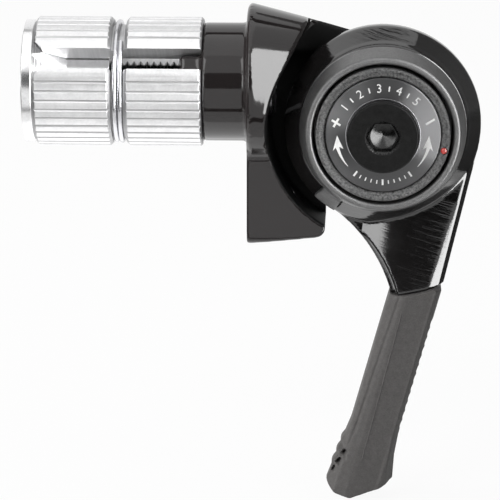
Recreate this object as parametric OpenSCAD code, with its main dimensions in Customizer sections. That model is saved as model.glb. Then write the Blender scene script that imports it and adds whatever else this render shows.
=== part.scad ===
// Bar-end shifter with an expanding plug, a friction lever and a tension dial.
// X runs along the handlebar, away from the rider's bar tube. Z is up.
// -Y is the side that carries the dial. The origin is on the plug's axis,
// in the plane where the pod seats on the end of the bar.

/* [Handlebar fit] */
// Outside diameter of the handlebar that the pod's collar matches
bar_d = 23.8; // [22.2:0.1:25.4]
// Diameter of the plug when it is slack
plug_d = 19.4; // [18.6:0.1:20.2]
// Length of the three plug segments
plug_l = 24.9; // [20:0.1:30]
// Width of the three slots between the segments
slot_w = 3.2; // [2.6:0.1:3.6]
// Direction of the front slot, measured from -Y towards +Z
slot_turn = 30; // [20:1:40]
// Diameter of the bore through the segments
plug_bore_d = 11; // [10.4:0.1:11.6]

/* [Plug details] */
// Flutes round the whole plug
flute_count = 42; // [30:1:48]
// Depth of one flute
flute_depth = 0.24; // [0.15:0.01:0.35]
// Half angle of the cone that spreads the segments
cone_angle = 38; // [34:1:42]
// Thickness of the cone's outer rim
rim_t = 1.4; // [1:0.1:2]
// Width of the groove for the spring ring, at its floor
groove_w = 2.0; // [1.7:0.1:2.4]
// Depth of the groove for the spring ring
groove_depth = 1.2; // [1:0.05:1.4]
// Diameter of the spring ring's wire
wire_d = 0.78; // [0.6:0.02:0.8]
// Expander bolt thread diameter
bolt_d = 6; // [5:0.5:6]
// Expander bolt head diameter
bolt_head_d = 10; // [9:0.1:10.2]

/* [Pod] */
// Diameter of the neck between the plug and the collar
neck_d = 17.8; // [17:0.1:18.4]
// Length of the neck
neck_l = 6.6; // [5:0.1:9]
// Distance from the seat plane to the lever's pivot
pivot_x = 20.3; // [19.8:0.1:23]
// Drop from the plug's axis to the lever's pivot
pivot_drop = 5.8; // [5:0.1:6.6]
// Gap between the lever's head and the round recess of the pod
recess_gap = 2.45; // [1.8:0.05:2.6]
// Distance from the cable plane back to the recess floor
floor_y = 3.2; // [3:0.1:4]
// Thickness of the ear behind the lever
ear_t = 4.8; // [4:0.1:6]
// Radius of the ear where the web meets it
web_r = 11; // [9:0.1:12]
// Width of the fin below the collar
fin_w = 12; // [11:0.1:13]
// Height of the fin below the cable
fin_below_cable = 6.4; // [5.6:0.1:7]
// Length of the fin along the bar
fin_l = 11.8; // [11:0.1:12.5]
// Diameter of the hole for the cable housing
housing_d = 5.2; // [4.2:0.1:5.6]
// Depth of the hole for the cable housing
housing_depth = 5.6; // [4.5:0.1:6]
// Diameter of the hole for the bare cable
cable_hole_d = 2.2; // [1.6:0.1:2.6]

/* [Lever] */
// Diameter of the lever's round head
head_d = 29.5; // [29:0.1:30]
// Angle between the lever and the vertical
lean = 15.5; // [10:0.5:20]
// Distance from the pivot to the outer end of the grip
reach = 56.5; // [54:0.1:64]
// Distance from the pivot to the grip's lip, where the arm ends
lip_at = 25.5; // [24.6:0.1:26]
// Width of the grip
grip_w = 7.4; // [7:0.1:8.6]
// Thickness of the grip
grip_t = 6.8; // [6:0.1:7.6]
// Thickness of the lever's round head
head_t = 4.6; // [4:0.1:5]
// How far the arm's front lies behind the head's
arm_back_set = 1.7; // [1.2:0.1:2]
// Radius of the arm's crowned front
crown_r = 22; // [14:0.5:30]

/* [Cable drum] */
// Diameter of the cable's path round the drum
drum_d = 23.4; // [22:0.1:24]
// Thickness of the drum
drum_t = 4.9; // [4.4:0.1:5]
// Diameter of the barrel on the end of a shift cable
nipple_d = 4.4; // [4:0.1:4.6]
// Travel of the lever in degrees
lever_travel = 115; // [90:1:130]

/* [Pivot and tension dial] */
// Diameter of the pivot post
post_d = 9; // [8:0.1:9.4]
// Diameter of the threaded front of the post
stud_d = 8; // [7.4:0.1:8]
// Distance across the two flats of the post
flats_w = 6.6; // [6.2:0.1:6.8]
// Thread diameter of the pivot bolt
pivot_bolt_d = 5; // [4:0.5:5]
// Diameter of the pivot bolt's head
pivot_head_d = 10.6; // [9:0.1:11]
// Height of the pivot bolt's head
pivot_head_h = 1.8; // [1.6:0.1:2.4]
// Hex socket in the pivot bolt, across flats
pivot_hex = 4; // [3:0.5:5]
// Diameter of the dial plate
dial_d = 17; // [16:0.1:17.4]
// Width of the textured adjuster ring
ring_w = 1.3; // [1.1:0.05:1.35]
// Width of the flat top of the cover ring
cover_top_w = 1.05; // [0.9:0.05:1.3]
// Height of the cover ring above the lever's head
cover_h = 4.6; // [3.8:0.1:5]
// Where the index dot stands, in degrees from +X towards +Z
dot_at = -14.5; // [-30:0.5:0]

/* [Fits] */
// Radial clearance where one piece turns in or on another
run_gap = 0.05; // [0.03:0.01:0.08]
// Gap between pieces that only seat on each other
seat_gap = 0.02; // [0.01:0.01:0.04]
// Axial gap between pieces that turn against each other
face_gap = 0.05; // [0.03:0.01:0.1]

/* [Hidden] */
$fn = 96;
eps = 0.01;

// --- places along the bar ---
bar_r = bar_d / 2;
neck_r = neck_d / 2;
plug_r = plug_d / 2;
plug_bore_r = plug_bore_d / 2;
seg_right = -neck_l - face_gap;
seg_left = seg_right - plug_l;
nose_l = 3.6;
nose_r = plug_bore_r - 0.25;
nose_key_r = neck_r - 1;
nose_key_l = nose_l - 0.4;
key_side_gap = 0.3;
collar_bevel = 0.5;
collar_l = 1.5;

// --- pivot stack, from the recess floor towards the dial ---
pivot_z = -pivot_drop;
head_r = head_d / 2;
recess_r = head_r + recess_gap;
ear_back_y = floor_y + ear_t;
ear_round = 2;
thrust_t = 0.6;
drum_back_y = floor_y - thrust_t - face_gap;
drum_front_y = drum_back_y - drum_t;
head_back_y = drum_front_y - seat_gap;
key_depth = 1;
cavity_floor_y = head_back_y - 2.4;
head_face_y = head_back_y - head_t;
rim_flat = 1.6;
cone_top_r = head_r - 2.35;

// --- tension stack in the lever's head ---
washer_t = 0.5;
plate_t = 0.8;
plate_back_y = cavity_floor_y - washer_t - face_gap;
plate_front_y = plate_back_y - plate_t;
spring_washer_t = 0.35;
spring_washer_h = 0.9;
nut_back_y = plate_front_y - spring_washer_h - face_gap;
nut_t = 2;
nut_front_y = nut_back_y - nut_t;
cover_top_y = head_face_y - cover_h;
ring_top_y = cover_top_y - 0.3;
dial_r = dial_d / 2;
dial_front_y = ring_top_y - 0.4;
dial_t = 1.3;
dial_back_y = dial_front_y + dial_t;
ring_in_r = dial_r + 0.12;
ring_out_r = ring_in_r + ring_w;
cover_in_r = ring_out_r + 0.5;
cover_top_r = cover_in_r + cover_top_w;
nut_r = ring_in_r - 0.1;
rib_count = 8;
rib_w = 2;
rib_depth = 1;
post_r = post_d / 2;
stud_r = stud_d / 2;
bushing_r = post_r + run_gap + 1;
cavity_r = cover_in_r;
tab_at = 233;
tab_spread = 15;
tab_depth = 2.1;
post_front_y = dial_front_y + 0.5;
post_back_y = ear_back_y - 1.6;

// --- cable and fin ---
drum_r = drum_d / 2;
drum_rim_r = drum_r + 0.7;
cable_z = pivot_z - drum_r;
fin_bottom_z = cable_z - fin_below_cable;
fin_rise = 1.3;
fin_round = 1.5;
fin_blend = 3;
stop_at = 90;
stop_r = 8.7;
stop_pin_r = 0.8;
stop_side_gap = 0.1;
stop_groove_depth = 1.5;
stop_play = 1;

// --- lever outline, in the lever's own frame (down the lever is -Z) ---
flare = 1.8;
grip_right = head_r + 0.6;
grip_left = grip_right - grip_w;
arm_right_top = [head_r * cos(flare), head_r * sin(flare)];
arm_right_foot = [(head_r + lip_at * sin(flare)) / cos(flare), -lip_at];
// the arm's left side is one hollow sweep that touches the head's circle
sweep_r = 23.6;
sweep_at = 251.9;
sweep_centre = (head_r + sweep_r) * [cos(sweep_at), sin(sweep_at)];
arm_back_y = head_back_y - 0.3;
arm_face_y = head_face_y + arm_back_set;
web_y = head_back_y - 1;
crown_lean = 8;
flank_foot = 0.4;
flank_top = 1;
tang_w = 3.6;
tang_t = 2;
tang_left = grip_left + 1.6;
tang_y = arm_face_y + 0.6;
tang_end = reach - 11;
grip_front_y = head_face_y - 1.1;
grip_back_y = grip_front_y + grip_t;
paddle_at = reach - 11.5;
wide_at = reach - 8;

// --- expander ---
bolt_r = bolt_d / 2;
bolt_head_r = bolt_head_d / 2;
bolt_head_h = 6;
washer_h = 0.8;
washer_seat_x = -2.6;
bolt_seat_x = washer_seat_x + washer_h + seat_gap;
cone_gap = 0.07;
rim_r = plug_r - 0.5;
rim_right_x = seg_left - 0.4;
cone_l = (rim_r - plug_bore_r + 0.2) / tan(cone_angle);
cone_body_l = 6.4;
groove_mid_x = (seg_left + seg_right) / 2;
bolt_end_x = rim_right_x - rim_t + 0.6;

// Turns a shape made about Z into one about the pivot axis, with its +Z
// pointing to the dial side.
module at_pivot() {
    translate([pivot_x, 0, pivot_z]) rotate([90, 0, 0]) children();
}

// Turns a shape made about Z into one about the plug's axis.
module along_bar() {
    rotate([0, 90, 0]) children();
}

// Turns a shape made on the -Y side to another direction round the bar's
// axis, measured from -Y towards +Z.
module facing(turn) {
    rotate([-turn, 0, 0]) children();
}

// A disc about the pivot axis between two Y places.
module pivot_disc(r, y_back, y_front) {
    at_pivot() translate([0, 0, -y_back]) cylinder(r = r, h = y_back - y_front);
}

// A disc about the bar axis between two X places.
module bar_disc(r, x_low, x_high) {
    translate([x_low, 0, 0]) along_bar() cylinder(r = r, h = x_high - x_low);
}

// A washer about the pivot axis.
module pivot_washer(r_out, r_in, y_back, y_front) {
    difference() {
        pivot_disc(r_out, y_back, y_front);
        pivot_disc(r_in, y_back + 1, y_front - 1);
    }
}

// The section of the threaded stud: a circle with two flats.
module stud_section(gap) {
    intersection() {
        circle(r = stud_r + gap);
        square([flats_w + 2 * gap, 2 * stud_r + 1], center = true);
    }
}

// The stud as a prism between two Y places, for the post and what it keys.
module stud_prism(gap, y_back, y_front) {
    at_pivot() translate([0, 0, -y_back])
        linear_extrude(height = y_back - y_front) stud_section(gap);
}

// ---------------------------------------------------------------- pod
// Section of the pod across the bar: the round collar, the fin below it and
// a hollow fillet on each side between them.
module fin_section() {
    half = fin_w / 2;
    blend_y = half + fin_blend;
    blend_z = -sqrt(pow(bar_r + fin_blend, 2) - blend_y * blend_y);
    join = [blend_y, blend_z] * bar_r / (bar_r + fin_blend);
    translate([-half, fin_bottom_z + fin_round])
        square([fin_w, -fin_bottom_z - fin_round]);
    translate([fin_round - half, fin_bottom_z])
        square([fin_w - 2 * fin_round, fin_round + eps]);
    for (side = [-1, 1])
        translate([side * (half - fin_round), fin_bottom_z + fin_round])
            circle(r = fin_round);
    difference() {
        polygon([[0, 0], [join[0], join[1]], [blend_y, blend_z], [half, blend_z],
                 [-half, blend_z], [-blend_y, blend_z], [-join[0], join[1]]]);
        for (side = [-1, 1])
            translate([side * blend_y, blend_z]) circle(r = fin_blend);
    }
}

// Side outline of the fin: its bottom rises towards the lever and its end
// is rounded.
module fin_outline() {
    r = 1.4;
    end_z = fin_bottom_z + fin_rise;
    slope = atan(fin_rise / fin_l);
    difference() {
        translate([0, fin_bottom_z - 1]) square([fin_l, bar_r - fin_bottom_z + 1]);
        translate([0, fin_bottom_z]) rotate(slope) translate([-2, -4])
            square([fin_l + 6, 4]);
        translate([fin_l - r, end_z - 1]) square([r + 1, r + 1]);
    }
    translate([fin_l - r, end_z + r * (1 - tan(slope))]) circle(r = r);
}

module fin() {
    intersection() {
        rotate([90, 0, 90]) linear_extrude(height = fin_l) fin_section();
        translate([0, bar_r, 0]) rotate([90, 0, 0])
            linear_extrude(height = 2 * bar_r) fin_outline();
    }
}

// The cast shell between the collar and the ear, and the ear's rounded back.
module pod_shell() {
    hull() {
        bar_disc(bar_r - eps, collar_l / 2, collar_l);
        at_pivot() translate([0, 0, -ear_back_y]) {
            translate([0, 0, ear_round]) cylinder(r = web_r, h = ear_t - ear_round);
            translate([0, 0, ear_round * 0.3])
                cylinder(r = web_r - ear_round * 0.3, h = 1);
            cylinder(r = web_r - ear_round, h = 1);
        }
    }
}

// The ear is a round plate that backs the whole drum.
module ear() {
    r = drum_rim_r + 0.6;
    at_pivot() translate([0, 0, -ear_back_y]) rotate_extrude()
        polygon([[0, 0], [r - ear_round, 0], [r - ear_round * 0.3, ear_round * 0.3],
                 [r, ear_round], [r, ear_t], [0, ear_t]]);
}

// The round recess, with a mouth that opens upwards so the lever drops in.
module recess() {
    mouth = 8;
    at_pivot() translate([0, 0, -floor_y]) linear_extrude(height = 3 * bar_r) {
        circle(r = recess_r);
        rotate(-30) {
            translate([-recess_r, 0]) square([2 * recess_r, mouth]);
            translate([0, mouth]) circle(r = recess_r);
        }
    }
}

module pod_body() color([0.05, 0.05, 0.055]) {
    difference() {
        union() {
            bar_disc(bar_r - collar_bevel, 0, 1);
            along_bar() cylinder(r1 = bar_r - collar_bevel, r2 = bar_r, h = collar_bevel);
            bar_disc(bar_r, collar_bevel, collar_l);
            pod_shell();
            ear();
            fin();
            bar_disc(neck_r, -neck_l, eps);
            bar_disc(nose_r, -neck_l - nose_l, -neck_l + eps);
            // keys on the nose that stand in the plug's slots
            for (a = [0, 120, 240])
                facing(slot_turn + a)
                    translate([-neck_l - nose_key_l, -nose_key_r, key_side_gap - slot_w / 2])
                        cube([nose_key_l + eps, nose_key_r, slot_w - 2 * key_side_gap]);
        }
        recess();
        bar_disc(bolt_r + 0.3, -neck_l - nose_l - 1, 0);
        bar_disc(bolt_head_r + 0.35, washer_seat_x, pivot_x - post_r - 2);
        translate([0, 0, cable_z]) {
            bar_disc(housing_d / 2, -1, housing_depth);
            bar_disc(cable_hole_d / 2, 0, fin_l + 1);
        }
        pivot_disc(post_r + 0.5, post_back_y, floor_y - 1);
        translate([pivot_x + stop_r * cos(stop_at), 0, pivot_z + stop_r * sin(stop_at)])
            rotate([90, 0, 0]) translate([0, 0, -floor_y - 2.5])
                cylinder(r = stop_pin_r + seat_gap, h = 4, $fn = 32);
    }
}

// ---------------------------------------------------------------- pivot
module pivot_post() color([0.62, 0.62, 0.64]) {
    press_r = post_r + 0.5 - seat_gap;
    difference() {
        union() {
            pivot_disc(press_r, post_back_y - seat_gap, floor_y + 0.2);
            pivot_disc(post_r, floor_y + 0.3, cavity_floor_y + 0.2);
            stud_prism(0, cavity_floor_y + 0.3, post_front_y);
        }
        pivot_disc(pivot_bolt_d / 2 + seat_gap, post_back_y - 0.8, post_front_y - 1);
    }
}

module stop_pin() color([0.55, 0.55, 0.57]) {
    translate([pivot_x + stop_r * cos(stop_at), 0, pivot_z + stop_r * sin(stop_at)])
        rotate([90, 0, 0]) translate([0, 0, -floor_y - 2.4])
            cylinder(r = stop_pin_r, h = 2.4 + floor_y - drum_back_y + stop_groove_depth - 0.3,
                     $fn = 32);
}

module thrust_washer() color([0.72, 0.6, 0.35]) {
    pivot_washer(stop_r - stop_pin_r - 0.5, post_r + run_gap, floor_y - eps, floor_y - thrust_t);
}

// ---------------------------------------------------------------- lever
// The boss that keys the drum to the lever: a round with two flats.
module drum_key(gap) {
    intersection() {
        circle(r = bushing_r + 2.4 + gap);
        square([2 * (bushing_r + 1.2 + gap), 40], center = true);
    }
}

module cable_drum() color([0.5, 0.5, 0.52]) {
    groove_half = 0.8;
    groove_floor_r = drum_r - 0.6;
    nipple_at = -50;
    difference() {
        union() {
            at_pivot() translate([0, 0, -drum_back_y]) difference() {
                cylinder(r = drum_rim_r, h = drum_t);
                translate([0, 0, drum_t / 2]) rotate_extrude()
                    polygon([[groove_floor_r, -groove_half / 2], [drum_rim_r + 1, -groove_half - 0.3],
                             [drum_rim_r + 1, groove_half + 0.3], [groove_floor_r, groove_half / 2]]);
            }
            at_pivot() translate([0, 0, -drum_front_y - eps])
                linear_extrude(height = key_depth + eps - face_gap) drum_key(0);
        }
        pivot_disc(bushing_r + seat_gap, drum_back_y + 1, drum_front_y - 2);
        at_pivot() translate([0, 0, -drum_back_y - eps]) {
            // groove for the stop pin, as long as the lever's travel
            rotate(stop_at - lever_travel - stop_play)
                rotate_extrude(angle = lever_travel + 2 * stop_play)
                    translate([stop_r - stop_pin_r - stop_side_gap, 0])
                        square([2 * (stop_pin_r + stop_side_gap), stop_groove_depth]);
            for (end = [stop_at + stop_play, stop_at - lever_travel - stop_play])
                rotate(end) translate([stop_r, 0, 0]) rotate(90)
                    cylinder(r = stop_pin_r + stop_side_gap / 2, h = stop_groove_depth, $fn = 32);
            // pocket for the barrel on the cable's end, open to the rim
            rotate(nipple_at) {
                translate([drum_r - nipple_d / 2 - 0.6, 0, 0])
                    cylinder(r = nipple_d / 2 + 0.1, h = drum_t - 0.8, $fn = 48);
                translate([drum_r - nipple_d / 2 - 0.6, -0.9, 0])
                    cube([nipple_d, 1.8, drum_t - 0.8]);
            }
        }
    }
}

module lever_bushing() color([0.75, 0.58, 0.3]) {
    pivot_washer(bushing_r, post_r + run_gap, drum_back_y, cavity_floor_y);
}

// Outline of the arm in the lever's own frame, from the head to the lip. gap
// makes it larger all round, for the pocket in the grip.
module arm_outline(gap) {
    intersection() {
        difference() {
            polygon([[0, 0], arm_right_top + [gap, 0], arm_right_foot + [gap, -1],
                     [0.2 * head_r, -lip_at - 1], sweep_centre * head_r / (head_r + sweep_r)]);
            translate(sweep_centre) circle(r = sweep_r - gap - eps / 2);
        }
        circle(r = lip_at + gap);
    }
}

// The cylinder that crowns the arm's front.
module crown() {
    foot = [(grip_left + grip_right) / 2, -lip_at];
    translate([foot[0], arm_face_y + crown_r, foot[1]]) rotate([0, -crown_lean, 0])
        cylinder(r = crown_r, h = 4 * head_r, center = true);
}

// A sloping cut along the arm's right side. It starts width inside that side
// at the given depth below the front.
module shoulder(width, depth, tilt) {
    translate([head_r - width, arm_face_y + depth, 0]) rotate([0, -flare, 0])
        rotate([0, 0, tilt]) translate([0, -8, -2 * lip_at])
            cube([10, 8, 2 * lip_at]);
}

// The sloping flank that rises from the arm's web along its hollow left side.
module flank() {
    translate([sweep_centre[0], web_y, sweep_centre[1]]) rotate([90, 0, 0])
        cylinder(r1 = sweep_r + flank_foot, r2 = sweep_r + 2 * flank_top - flank_foot,
                 h = 2 * (web_y - arm_face_y));
}

// The arm in the lever's own frame: a web as flat as the head's rim, and a
// crowned face that stands on it.
module arm() {
    difference() {
        union() {
            translate([0, arm_back_y, 0]) rotate([90, 0, 0])
                linear_extrude(height = arm_back_y - web_y) arm_outline(0);
            difference() {
                intersection() {
                    translate([0, web_y + eps, 0]) rotate([90, 0, 0])
                        linear_extrude(height = web_y - head_face_y) arm_outline(0);
                    crown();
                }
                flank();
            }
        }
        shoulder(2.2, 0.1, 22);
        shoulder(0.7, 0.7, 60);
    }
}

module lever_arm() color([0.06, 0.06, 0.065]) {
    difference() {
        union() {
            // round head: a flat rim, then a cone up to the seat of the cover
            at_pivot() rotate_extrude()
                polygon([[0, -head_back_y], [head_r - 0.4, -head_back_y],
                         [head_r, -head_back_y + 0.4], [head_r, -head_back_y + rim_flat],
                         [cone_top_r, -head_face_y], [0, -head_face_y]]);
            translate([pivot_x, 0, pivot_z]) rotate([0, lean, 0]) {
                arm();
                // tang that the grip is moulded on
                translate([tang_left, tang_y, -tang_end])
                    cube([tang_w, tang_t, tang_end - lip_at + 2]);
            }
        }
        // cavity for the tension stack
        pivot_disc(cavity_r, cavity_floor_y, head_face_y - 1);
        pivot_disc(bushing_r + seat_gap, head_back_y + 1, head_face_y - 1);
        at_pivot() translate([0, 0, -head_back_y - 1])
            linear_extrude(height = key_depth + 1) drum_key(run_gap);
        // notch for the tab of the cover ring
        at_pivot() rotate(tab_at - tab_spread / 2 - 0.3)
            translate([0, 0, -head_face_y - tab_depth - seat_gap])
                rotate_extrude(angle = tab_spread + 0.6)
                    translate([cover_in_r - 1, 0]) square([6, 4]);
    }
}

// A thin slice of the grip, v down from the pivot: a bar whose front falls
// gently away on the left and steeply on the right. ease rounds its left edge.
module grip_slice(v, left, right, front, ease) {
    back = grip_back_y;
    translate([0, 0, -v]) linear_extrude(height = 0.2)
        polygon([[left, back - 1.1], [left + 1.1, back], [right - 1.1, back],
                 [right, back - 1.1], [right, front + 1.5], [right - 0.95, front],
                 [left + ease + 2.4, front], [left + ease, front + 0.35],
                 [left, front + 0.35 + 2 * ease]]);
}

// Blade of the grip and its wider paddle, before the end is shaped.
module grip_blade() {
    hull() {
        grip_slice(lip_at - 4, grip_left, grip_right, grip_front_y, 0.15);
        grip_slice(paddle_at, grip_left, grip_right, grip_front_y, 0.15);
    }
    hull() {
        grip_slice(paddle_at, grip_left, grip_right, grip_front_y, 0.15);
        grip_slice(wide_at, grip_left - 0.4, grip_right + 0.35, grip_front_y, 0.8);
    }
    hull() {
        grip_slice(wide_at, grip_left - 0.4, grip_right + 0.35, grip_front_y, 0.8);
        grip_slice(reach + 0.2, grip_left - 1.2, grip_right + 2.1, grip_front_y + 0.9, 1.6);
    }
}

// Side outline of the grip's end: a slope down to a tip, then a round corner.
module grip_end() {
    r = 2.25;
    slope = 37;
    corner = [grip_left + 0.95, -reach + r];
    tip = [grip_left + 3.05, -reach];
    translate(corner) circle(r = r);
    polygon([[corner[0] - 2 * r, 0], [corner[0] - 2 * r, corner[1]], corner,
             [corner[0], -reach], tip, tip + 5 * r * [cos(slope), sin(slope)],
             [grip_right + 3 * r, 0]]);
}

module lever_grip() color([0.33, 0.325, 0.32]) {
    scallop_pitch = 1.8;
    scallop_tilt = 31;
    scallop_turn = 26;
    scallop_r = 0.75;
    teeth = 12;
    tooth_pitch = (paddle_at - lip_at - 1.5) / teeth;
    tooth_r = 1.6;
    tooth_depth = 0.16;
    translate([pivot_x, 0, pivot_z]) rotate([0, lean, 0]) difference() {
        intersection() {
            grip_blade();
            translate([0, grip_back_y + 1, 0]) rotate([90, 0, 0])
                linear_extrude(height = grip_t + 2) grip_end();
        }
        // the arm's foot stands between two ears of the lip
        translate([0, grip_back_y + 1, 0]) rotate([90, 0, 0])
            linear_extrude(height = grip_t + 2) {
                circle(r = lip_at - 0.6);
                arm_outline(seat_gap);
            }
        // pocket for the tang
        translate([tang_left - seat_gap, tang_y - seat_gap, -tang_end - seat_gap])
            cube([tang_w + 2 * seat_gap, tang_t + 2 * seat_gap, tang_end]);
        // scallops for the thumb, sloping down across the paddle's inner edge
        for (i = [0 : 2])
            translate([grip_left - 0.25 - 0.3 * i, grip_front_y + 1.3,
                       -reach + 6.6 - i * scallop_pitch])
                rotate([90 + scallop_tilt, 0, scallop_turn])
                    cylinder(r = scallop_r, h = 3 * grip_t, $fn = 24, center = true);
        // fine teeth across the outer side
        for (i = [0 : teeth - 1])
            translate([grip_right + tooth_r - tooth_depth, grip_back_y + 1,
                       -lip_at - 0.5 - (i + 0.5) * tooth_pitch])
                rotate([90, 0, 0]) cylinder(r = tooth_r, h = grip_t + 2, $fn = 48);
    }
}

// ---------------------------------------------------------------- tension
module friction_washer() color([0.45, 0.3, 0.2]) {
    pivot_washer(cavity_r - 0.5, post_r + run_gap, cavity_floor_y - eps,
                 cavity_floor_y - washer_t);
}

module friction_plate() color([0.66, 0.66, 0.68]) {
    difference() {
        pivot_disc(cavity_r - 0.6, plate_back_y, plate_front_y);
        stud_prism(run_gap, plate_back_y + 1, plate_front_y - 1);
    }
}

// A dished washer: its rim rests on the plate and its bore meets the nut.
module spring_washer() color([0.6, 0.6, 0.62]) {
    rim = nut_r - 0.6;
    bore = stud_r + 0.3;
    top = spring_washer_h;
    t = spring_washer_t;
    at_pivot() translate([0, 0, -plate_front_y + eps]) rotate_extrude()
        polygon([[rim, 0], [rim, t], [bore, top], [bore, top - t]]);
}

module adjuster_nut() color([0.7, 0.7, 0.72]) {
    difference() {
        pivot_disc(nut_r, nut_back_y, nut_front_y);
        pivot_disc(stud_r + run_gap, nut_back_y + 1, nut_front_y - 1);
        at_pivot() translate([0, 0, -nut_back_y - 1]) for (i = [0 : rib_count - 1])
            rotate(i * 360 / rib_count)
                translate([nut_r - rib_depth - 0.1, -rib_w / 2 - 0.1, 0])
                    cube([3, rib_w + 0.2, nut_t + 2]);
    }
}

// The textured ring that the fingers turn, with ribs that drive the nut.
module adjuster_ring() color([0.2, 0.2, 0.2]) {
    back_y = head_face_y - 0.25;
    rib_front_y = dial_back_y + face_gap;
    lip = 0.22;
    difference() {
        union() {
            at_pivot() rotate_extrude()
                polygon([[ring_in_r, -back_y], [ring_out_r, -back_y],
                         [ring_out_r, -ring_top_y - lip], [ring_out_r - lip, -ring_top_y],
                         [ring_out_r - 2 * lip, -ring_top_y],
                         [ring_out_r - 3 * lip, -ring_top_y - lip * 0.8],
                         [ring_in_r + lip, -ring_top_y - lip * 0.8],
                         [ring_in_r, -ring_top_y - 2 * lip]]);
            at_pivot() translate([0, 0, -nut_back_y]) for (i = [0 : rib_count - 1])
                rotate(i * 360 / rib_count)
                    translate([nut_r - rib_depth, -rib_w / 2, 0.2])
                        cube([rib_depth + 0.5, rib_w, nut_back_y - 0.2 - rib_front_y]);
        }
        at_pivot() rotate(dot_at) translate([(ring_in_r + ring_out_r) / 2, 0, -ring_top_y - 0.7])
            cylinder(r = 0.5 + seat_gap, h = 2, $fn = 32);
    }
}

module index_dot() color([0.8, 0.12, 0.12]) {
    at_pivot() rotate(dot_at) translate([(ring_in_r + ring_out_r) / 2, 0, -ring_top_y - 0.69])
        cylinder(r = 0.5, h = 0.72, $fn = 32);
}

// The cover presses into the head's cavity with a short spigot. Its tab sits
// in a notch of the head, so the two turn as one.
module cover_ring() color([0.42, 0.42, 0.42]) {
    edge = 0.25;
    spigot_r = cover_in_r - 0.7;
    spigot_l = 0.6;
    skin = 0.15;
    at_pivot() {
        rotate_extrude()
            polygon([[spigot_r, -head_face_y - spigot_l],
                     [cover_in_r - seat_gap, -head_face_y - spigot_l],
                     [cover_in_r - seat_gap, -head_face_y + seat_gap],
                     [cone_top_r, -head_face_y + seat_gap],
                     [cone_top_r, -head_face_y + 0.5], [cover_top_r, -cover_top_y - edge],
                     [cover_top_r - edge, -cover_top_y], [cover_in_r + edge, -cover_top_y],
                     [cover_in_r, -cover_top_y - edge], [cover_in_r, -head_face_y + skin],
                     [spigot_r, -head_face_y + skin]]);
        rotate(tab_at - tab_spread / 2) translate([0, 0, -head_face_y - tab_depth])
            rotate_extrude(angle = tab_spread)
                polygon([[cover_in_r, 0], [head_r - 0.2, 0], [head_r - 0.2, 1.1],
                         [cone_top_r + 0.3, tab_depth + 0.6],
                         [cover_in_r, tab_depth + 0.6]]);
    }
}

module dial_plate() color([0.12, 0.12, 0.125]) {
    difference() {
        at_pivot() translate([0, 0, -dial_back_y]) {
            cylinder(r = dial_r, h = dial_t - 0.15);
            translate([0, 0, dial_t - 0.15]) cylinder(r1 = dial_r, r2 = dial_r - 0.15, h = 0.15);
        }
        stud_prism(seat_gap, dial_back_y + 1, post_front_y - seat_gap);
        pivot_disc(pivot_bolt_d / 2 + 0.1, dial_back_y + 1, dial_front_y - 1);
    }
}

module pivot_bolt() color([0.07, 0.07, 0.07]) {
    head_top_y = dial_front_y - pivot_head_h;
    bolt_tip_y = post_back_y - 1.3;
    socket_depth = 1.5;
    lead = 0.62;
    bevel = 0.25;
    difference() {
        at_pivot() {
            translate([0, 0, -dial_front_y + seat_gap])
                cylinder(r = pivot_head_d / 2, h = pivot_head_h - bevel - seat_gap);
            translate([0, 0, -head_top_y - bevel])
                cylinder(r1 = pivot_head_d / 2, r2 = pivot_head_d / 2 - bevel, h = bevel);
            translate([0, 0, -bolt_tip_y])
                cylinder(r = pivot_bolt_d / 2, h = bolt_tip_y - dial_front_y + 1);
        }
        at_pivot() translate([0, 0, -head_top_y - socket_depth]) {
            cylinder(r = pivot_hex / sqrt(3), h = socket_depth + 1, $fn = 6);
            translate([0, 0, socket_depth - lead])
                cylinder(r1 = pivot_hex / 2, r2 = pivot_hex / 2 + 2 * lead, h = 2 * lead);
            translate([0, 0, -0.9]) cylinder(r1 = 0.05, r2 = pivot_hex / 2 - 0.1, h = 0.91);
        }
    }
}

// ---------------------------------------------------------------- expander
module expander_washer() color([0.7, 0.7, 0.72]) {
    difference() {
        bar_disc(bolt_head_r + 0.2, washer_seat_x + seat_gap, washer_seat_x + washer_h);
        bar_disc(bolt_r + 0.2, washer_seat_x - 1, washer_seat_x + washer_h + 1);
    }
}

module expander_bolt() color([0.3, 0.3, 0.31]) {
    head_end = bolt_seat_x + bolt_head_h;
    hex = 5;
    difference() {
        union() {
            bar_disc(bolt_r - run_gap, bolt_end_x, bolt_seat_x + eps);
            bar_disc(bolt_head_r, bolt_seat_x, head_end - 0.5);
            translate([head_end - 0.5, 0, 0]) along_bar()
                cylinder(r1 = bolt_head_r, r2 = bolt_head_r - 0.5, h = 0.5);
        }
        translate([head_end - 3.2, 0, 0]) along_bar()
            cylinder(r = hex / sqrt(3), h = 4, $fn = 6);
    }
}

module expander_cone() color([0.86, 0.86, 0.87]) {
    difference() {
        translate([rim_right_x, 0, 0]) along_bar() rotate_extrude()
            polygon([[0, -rim_t], [rim_r - 0.3, -rim_t], [rim_r, -rim_t + 0.3], [rim_r, 0],
                     [rim_r - cone_l * tan(cone_angle), cone_l],
                     [rim_r - cone_l * tan(cone_angle), cone_l + cone_body_l],
                     [0, cone_l + cone_body_l]]);
        bar_disc(bolt_r, rim_right_x - rim_t - 1, rim_right_x + cone_l + cone_body_l + 1);
    }
}

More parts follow.
